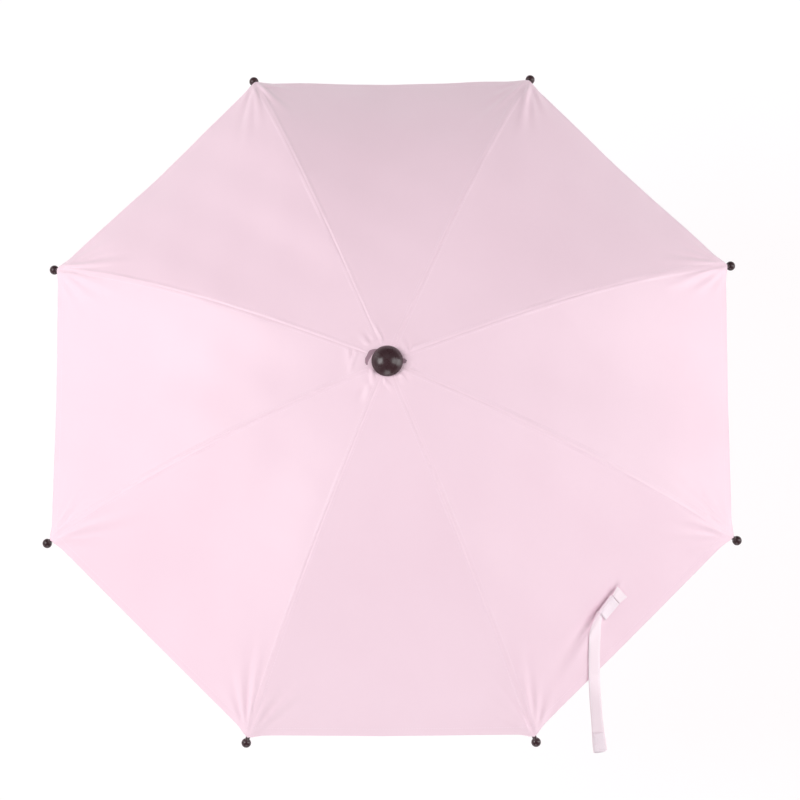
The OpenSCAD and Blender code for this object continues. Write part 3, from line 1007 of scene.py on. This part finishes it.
@dataclass
class SeamTapes:
    """Cloth tape under each seam, and the thread ties that hold it to the rib."""

    canopy: Canopy
    half_width: float = 0.0052
    lift: float = 0.0022
    start: float = 0.020
    end_gap: float = 0.002
    tie_places: tuple[float, ...] = (0.095, 0.255)
    thread: float = 0.00022
    turns: int = 4
    tie_pitch: float = 0.0007
    droop: float = 0.0004
    stitch_shift: float = 0.0021
    rows: int = 60
    columns: int = 9
    tape_lengths: Plan = (0.15, 0.25)
    wound_inner: Plan = (0.0024, -0.0021)
    wound_outer: Plan = (0.0020, -0.0018)

    def tape(self, rib: int, stretch: Stretch) -> bpy.types.Object:
        """Makes the tape over one length of a rib."""
        joint = self.canopy.curve.joint[0]
        inner = stretch is Stretch.INNER
        start, end = (self.start, joint) if inner else (joint, self.canopy.hem - self.end_gap)
        reaches = np.linspace(start, end, self.rows)
        offsets = np.linspace(-self.half_width, self.half_width, self.columns)
        along, across = np.meshgrid(reaches, offsets, indexing="ij")
        over = along + np.abs(across) * SPREAD
        droop = self.droop * (across / self.half_width) ** 4
        level = self.canopy.curve.height(over, self.lift + self.canopy.crown(over)) - droop
        x, y = self.canopy.place(along, across, rib, Side.LEFT)
        points = np.stack([x, y, level], axis=-1).reshape(-1, 3)
        weave = np.stack([along, across], axis=-1).reshape(-1, 2)
        seam = np.stack([along, self.half_width - np.abs(across) + self.stitch_shift], axis=-1).reshape(-1, 2)
        faces = grid_faces(self.rows, self.columns)
        return make_object(f"seam_tape_{rib}_{stretch.value}", points, faces, weave=weave, seam=seam, hem=seam)

    def tie(self, rib: int, number: int, reach: float) -> bpy.types.Object:
        """Makes a thread that is wound round the rib and its tape.

        Args:
            rib: Number of the rib.
            number: Number of the tie on its rib.
            reach: Its distance from the shaft's axis.

        Returns:
            The piece, not yet riding on a body.
        """
        sides, per_turn = 6, 20
        count = self.turns * per_turn + 1
        slope = math.atan2(
            float(self.canopy.curve.height(np.array(reach - 0.001), 0.0))
            - float(self.canopy.curve.height(np.array(reach + 0.001), 0.0)),
            0.002,
        )
        middle = np.array([reach, 0.0, float(self.canopy.curve.height(np.array(reach), 0.0))])
        along = np.array([math.cos(slope), 0.0, -math.sin(slope)])
        up = np.array([math.sin(slope), 0.0, math.cos(slope)])
        wide, low = self.wound_inner if reach < self.canopy.curve.joint[0] else self.wound_outer
        top = self.lift + 0.0002
        points = []
        for k in range(count):
            angle = 2 * math.pi * k / per_turn
            shift = self.tie_pitch * (k / per_turn - self.turns / 2)
            c, s = math.cos(angle), math.sin(angle)
            round_z = (top + low) / 2 + (top - low) / 2 * s
            centre = middle + along * shift + up * round_z + np.array([0, wide * c, 0])
            outward = np.array([0, c, 0]) + up * s
            for m in range(sides):
                roll = 2 * math.pi * m / sides
                points.append(centre + self.thread * (outward * math.cos(roll) + along * math.sin(roll)))
        local = np.array(points)
        x, y = self.canopy.place(local[:, 0], local[:, 1], rib, Side.LEFT)
        placed, uv = np.stack([x, y, local[:, 2]], axis=-1), local[:, :2]
        faces = tube_faces(count, sides, flip=True)
        return make_object(f"thread_tie_{rib}_{number}", placed, faces, weave=uv, seam=uv + 1, hem=uv + 1)

    def build(self, dresser: Dresser) -> None:
        """Builds and dresses the tapes and ties of every rib."""
        for rib in range(1, RIBS + 1):
            for stretch, length in zip(Stretch, self.tape_lengths):
                piece = self.tape(rib, stretch)
                dresser.dress(piece, Slot.CANOPY)
                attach(piece, body_of(rib, stretch))
            for number, (reach, stretch) in enumerate(zip(self.tie_places, Stretch), 1):
                piece = self.tie(rib, number, reach)
                dresser.dress(piece, Slot.STRAP)
                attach(piece, body_of(rib, stretch))
            log.info("built the tapes and ties of rib %d", rib)


@dataclass
class TieStrap:
    """The tie strap: a sewn tab, a piece of hook tape, the strap that hangs under it, and its loop tape."""

    canopy: Canopy
    tab: tuple[Plan, Plan] = ((0.2289, -0.2036), (0.2226, -0.2116))
    tape: tuple[Plan, Plan] = ((0.2219, -0.2115), (0.2083, -0.2283))
    lie: tuple[Plan, ...] = (
        (0.2068, -0.2245), (0.2050, -0.2305), (0.2034, -0.2370), (0.2016, -0.2480), (0.2013, -0.2620),
        (0.2015, -0.2760),
    )
    width: float = 0.0118
    end_width: float = 0.0138
    tab_widths: Plan = (0.0134, 0.0096)
    tape_widths: Plan = (0.0114, 0.0102)
    free: float = 0.088
    drift: float = 0.0068
    lift: float = 0.0009
    thick: float = 0.0008
    rib: int = 7
    free_turn: float = math.radians(15)
    leave: float = math.radians(31)
    drift_power: float = 1.4
    lying_points: int = 40
    hanging_points: int = 30
    rounding: int = 5
    ripple: float = 0.0004

    def line(self, ends: tuple[Plan, Plan], count: int = 14) -> Array:
        """Points along a straight piece that lies on the cloth."""
        share = np.linspace(0, 1, count)[:, None]
        plan = np.array(ends[0]) + share * (np.array(ends[1]) - np.array(ends[0]))
        return np.column_stack([plan, self.canopy.height(plan[:, 0], plan[:, 1])])

    def hanging_line(self) -> tuple[Array, Array]:
        """The strap's middle line, over the hem and down.

        Returns:
            Its points, and how free each is from the cloth, from 0 to 1.
        """
        out = self.canopy.hem * math.cos(HALF) - self.canopy.hem_draw
        corners = np.array(self.lie + ((self.lie[-1][0], self.lie[-1][0] - out * math.sqrt(2)),))
        route = distances(corners)
        at = np.linspace(0, route[-1], self.lying_points)
        plan = np.column_stack([np.interp(at, route, corners[:, k]) for k in (0, 1)])
        for _ in range(self.rounding):
            plan[1:-1] = (plan[:-2] + 2 * plan[1:-1] + plan[2:]) / 4
        lying = np.column_stack([plan, self.canopy.height(plan[:, 0], plan[:, 1])])
        steps = self.hanging_points
        points, step = [lying[-1]], self.free / steps
        for k in range(1, steps + 1):
            angle = self.leave + self.free_turn * (k - 0.5) / steps
            aside = self.drift * ((k / steps) ** self.drift_power - ((k - 1) / steps) ** self.drift_power)
            points.append(points[-1] + np.array([aside, -step * math.cos(angle), -step * math.sin(angle)]))
        free = np.concatenate([np.zeros(len(lying)), np.linspace(1 / steps, 1, steps)])
        return np.vstack([lying, np.array(points[1:])]), free

    def band(
        self, name: str, points: Array, free: Array, widths: Array, over: float, curl: float
    ) -> bpy.types.Object:
        """Makes a thin closed band that lies on the cloth and then hangs free.

        Args:
            name: Name of the piece.
            points: Its middle line.
            free: How free each point is from the cloth, from 0 to 1.
            widths: Its width at each point.
            over: Height of its middle over the line.
            curl: How far its middle stands above its edges.

        Returns:
            The piece, not yet riding on a body.
        """
        ahead = np.gradient(points, axis=0)
        across = np.column_stack([-ahead[:, 1], ahead[:, 0], np.zeros(len(points))])
        across /= np.linalg.norm(across, axis=1, keepdims=True)
        up = np.cross(ahead, across)
        up /= np.linalg.norm(up, axis=1, keepdims=True)
        along = distances(points)
        share = np.array([-1 + 0.25 * k for k in range(9)] + [1 - 0.25 * k for k in range(9)])
        face = np.array([1.0] * 9 + [-1.0] * 9) * np.where(np.abs(share) > 0.99, 0.55, 1.0)
        reach = share[None, :, None] * widths[:, None, None] / 2
        flat = points[:, None, :] + across[:, None, :] * reach
        draped = self.canopy.height(flat[..., 0], flat[..., 1])
        last = int(np.count_nonzero(free == 0)) - 1
        tilt = draped[last] - points[last, 2]
        hung = points[:, None, 2] + tilt[None, :] * (1 - smooth(free / 0.4))[:, None]
        flat[..., 2] = np.where(free[:, None] == 0, draped, hung)
        ripple = self.ripple * np.sin(620 * along[:, None] + 2.2 * share[None, :]) * free[:, None]
        high = over + curl * (1 - share[None, :] ** 2) + face[None, :] * self.thick / 2 + ripple
        rows = flat + up[:, None, :] * high[..., None]
        faces = tube_faces(len(points), len(share))
        weave = np.stack(np.broadcast_arrays(along[:, None], reach[..., 0]), axis=-1).reshape(-1, 2)
        edge = (1 - np.abs(share))[None, :] * widths[:, None] / 2
        hem = np.stack(np.broadcast_arrays(along[:, None], edge), axis=-1).reshape(-1, 2)
        return make_object(name, rows.reshape(-1, 3), faces, weave=weave, seam=weave + 1.0, hem=hem)

    def build(self, dresser: Dresser) -> None:
        """Builds and dresses the strap, its tab and its two tapes."""
        points, free = self.hanging_line()
        top = smooth((points[:, 1] - self.lie[3][1]) / 0.022)
        widths = self.width + (self.end_width - self.width) * smooth((free - 0.55) / 0.4) - 0.0050 * top
        strap = self.band("tie_strap_band", points, free, widths, self.lift, 0.0003)
        ends = []
        for name, line, sizes, over in (
            ("strap_tab", self.tab, self.tab_widths, self.lift + 0.0006),
            ("hook_tape_root", self.tape, self.tape_widths, self.lift + 0.0021),
        ):
            middle = self.line(line)
            across = np.linspace(*sizes, len(middle))
            ends.append(self.band(name, middle, np.zeros(len(middle)), across, over, 0.0003))
        tail = slice(-9, None)
        over = self.lift + self.thick + 0.0001
        ends.append(self.band("loop_tape_end", points[tail], free[tail], widths[tail] * 0.86, over, 0.0002))
        for piece in (strap, *ends):
            dresser.dress(piece, Slot.HOOK if "tape" in piece.name else Slot.STRAP)
            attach(piece, body_of(self.rib, Stretch.OUTER))
            FLAPS[Stretch.OUTER].fold(piece, self.rib, Side.LEFT, pivot_of(self.rib, Stretch.OUTER))
            log.info("built %s", piece.name)
        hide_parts("tie_strap")
        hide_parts("hook_patch")


@dataclass(frozen=True)
class Lamp:
    """A square soft light that faces the canopy, placed by its azimuth and elevation in degrees."""

    name: str
    azimuth: float
    elevation: float
    power: float
    size: float = 1.4
    distance: float = 2.6

    def build(self, target: Vector) -> None:
        """Places the light and aims it."""
        light = bpy.data.lights.new(self.name, "AREA")
        light.energy, light.size = self.power, self.size
        lamp = bpy.data.objects.new(self.name, light)
        a, e = math.radians(self.azimuth), math.radians(self.elevation)
        way = Vector((math.cos(a) * math.cos(e), math.sin(a) * math.cos(e), math.sin(e)))
        lamp.location = target + way * self.distance
        lamp.rotation_euler = (-way).to_track_quat("-Z", "Y").to_euler()
        bpy.context.scene.collection.objects.link(lamp)


@dataclass
class Studio:
    """The camera, the lights, the floor and the background."""

    tilt: float = math.radians(14.45)
    lean: float = math.radians(-1.463)
    roll: float = math.radians(0.294)
    distance: float = 3.5956
    target_height: float = 0.324688
    focal_mm: float = 159.5
    sensor_mm: float = 36.0
    shift: Plan = (0.01066, 0.00460)
    floor_size: float = 12.0
    floor_gap: float = 0.0005
    floor_glow: float = 0.845
    floor_colour: Colour = (0.20, 0.188, 0.192, 1)
    glow_colour: Colour = (1.0, 0.985, 0.99, 1)
    sky: float = 0.10
    lamps: tuple[Lamp, ...] = (
        Lamp("lamp_right", 0, 12, 27),
        Lamp("lamp_right_high", 0, 45, 24.5),
        Lamp("lamp_top_back", 90, 65, 2.5),
        Lamp("lamp_left_back", 150, 12, 7.5),
        Lamp("lamp_left_high", 180, 45, 47),
        Lamp("lamp_left_front", 210, 12, 3.5),
        Lamp("lamp_front_low", 270, 10, 19),
    )

    def build_camera(self) -> None:
        """Makes the camera, nearly over the canopy and a little to the front."""
        data = bpy.data.cameras.new("camera")
        data.lens, data.sensor_width = self.focal_mm, self.sensor_mm
        data.shift_x, data.shift_y = self.shift
        camera = bpy.data.objects.new("camera", data)
        roll = Matrix.Rotation(self.roll, 3, "Z")
        tilt = Matrix.Rotation(-self.tilt, 3, "X")
        lean = Matrix.Rotation(self.lean, 3, "Y")
        axes = (lean @ tilt @ roll).transposed()
        camera.matrix_world = Matrix.Translation(
            Vector((0, 0, self.target_height)) + axes.col[2] * self.distance
        ) @ axes.to_4x4()
        bpy.context.scene.collection.objects.link(camera)
        bpy.context.scene.camera = camera

    def build_floor(self) -> None:
        """Makes the pale floor, level with the foot of the grip."""
        half = self.floor_size / 2
        level = CAD_BOX[0].z - self.floor_gap
        plan = ((-half, -half), (half, -half), (half, half), (-half, half))
        corners = np.array([(x, y, level) for x, y in plan])
        floor = make_object("floor", corners, [(0, 1, 2, 3)])
        graph = Graph("floor_paper")
        graph.constants(Base_Color=self.floor_colour, Emission_Color=self.glow_colour)
        graph.constants(Roughness=0.9, Emission_Strength=self.floor_glow, Specular_IOR_Level=0.1)
        floor.data.materials.append(graph.material)

    def build_sky(self) -> None:
        """Makes the background: white to the camera, and softer as a light."""
        world = bpy.data.worlds.new("studio")
        world.use_nodes = True
        tree = world.node_tree
        glow = tree.nodes["Background"]
        seen = tree.nodes.new("ShaderNodeLightPath").outputs["Is Camera Ray"]
        spread = tree.nodes.new("ShaderNodeMapRange")
        spread.inputs["To Min"].default_value = self.sky
        spread.inputs["To Max"].default_value = 1.0
        tree.links.new(seen, spread.inputs["Value"])
        tree.links.new(spread.outputs["Result"], glow.inputs["Strength"])
        glow.inputs["Color"].default_value = (1, 1, 1, 1)
        bpy.context.scene.world = world

    def build(self) -> None:
        """Builds the whole studio and sets how the picture is developed."""
        self.build_camera()
        self.build_floor()
        self.build_sky()
        for lamp in self.lamps:
            lamp.build(Vector((0, 0, self.target_height)))
        bpy.context.scene.view_settings.view_transform = "Standard"
        log.info("built the studio")


def main() -> None:
    """Builds the parasol's looks in order."""
    logging.basicConfig(level=logging.INFO, format="%(name)s: %(message)s")
    dresser = Dresser()
    Studio().build()
    dresser.dress_frame()
    canopy = Canopy(RibCurve.of_frame())
    canopy.build(dresser)
    CrownPads(canopy).build(dresser)
    SeamTapes(canopy).build(dresser)
    TieStrap(canopy).build(dresser)


if __name__ == "__main__":
    main()
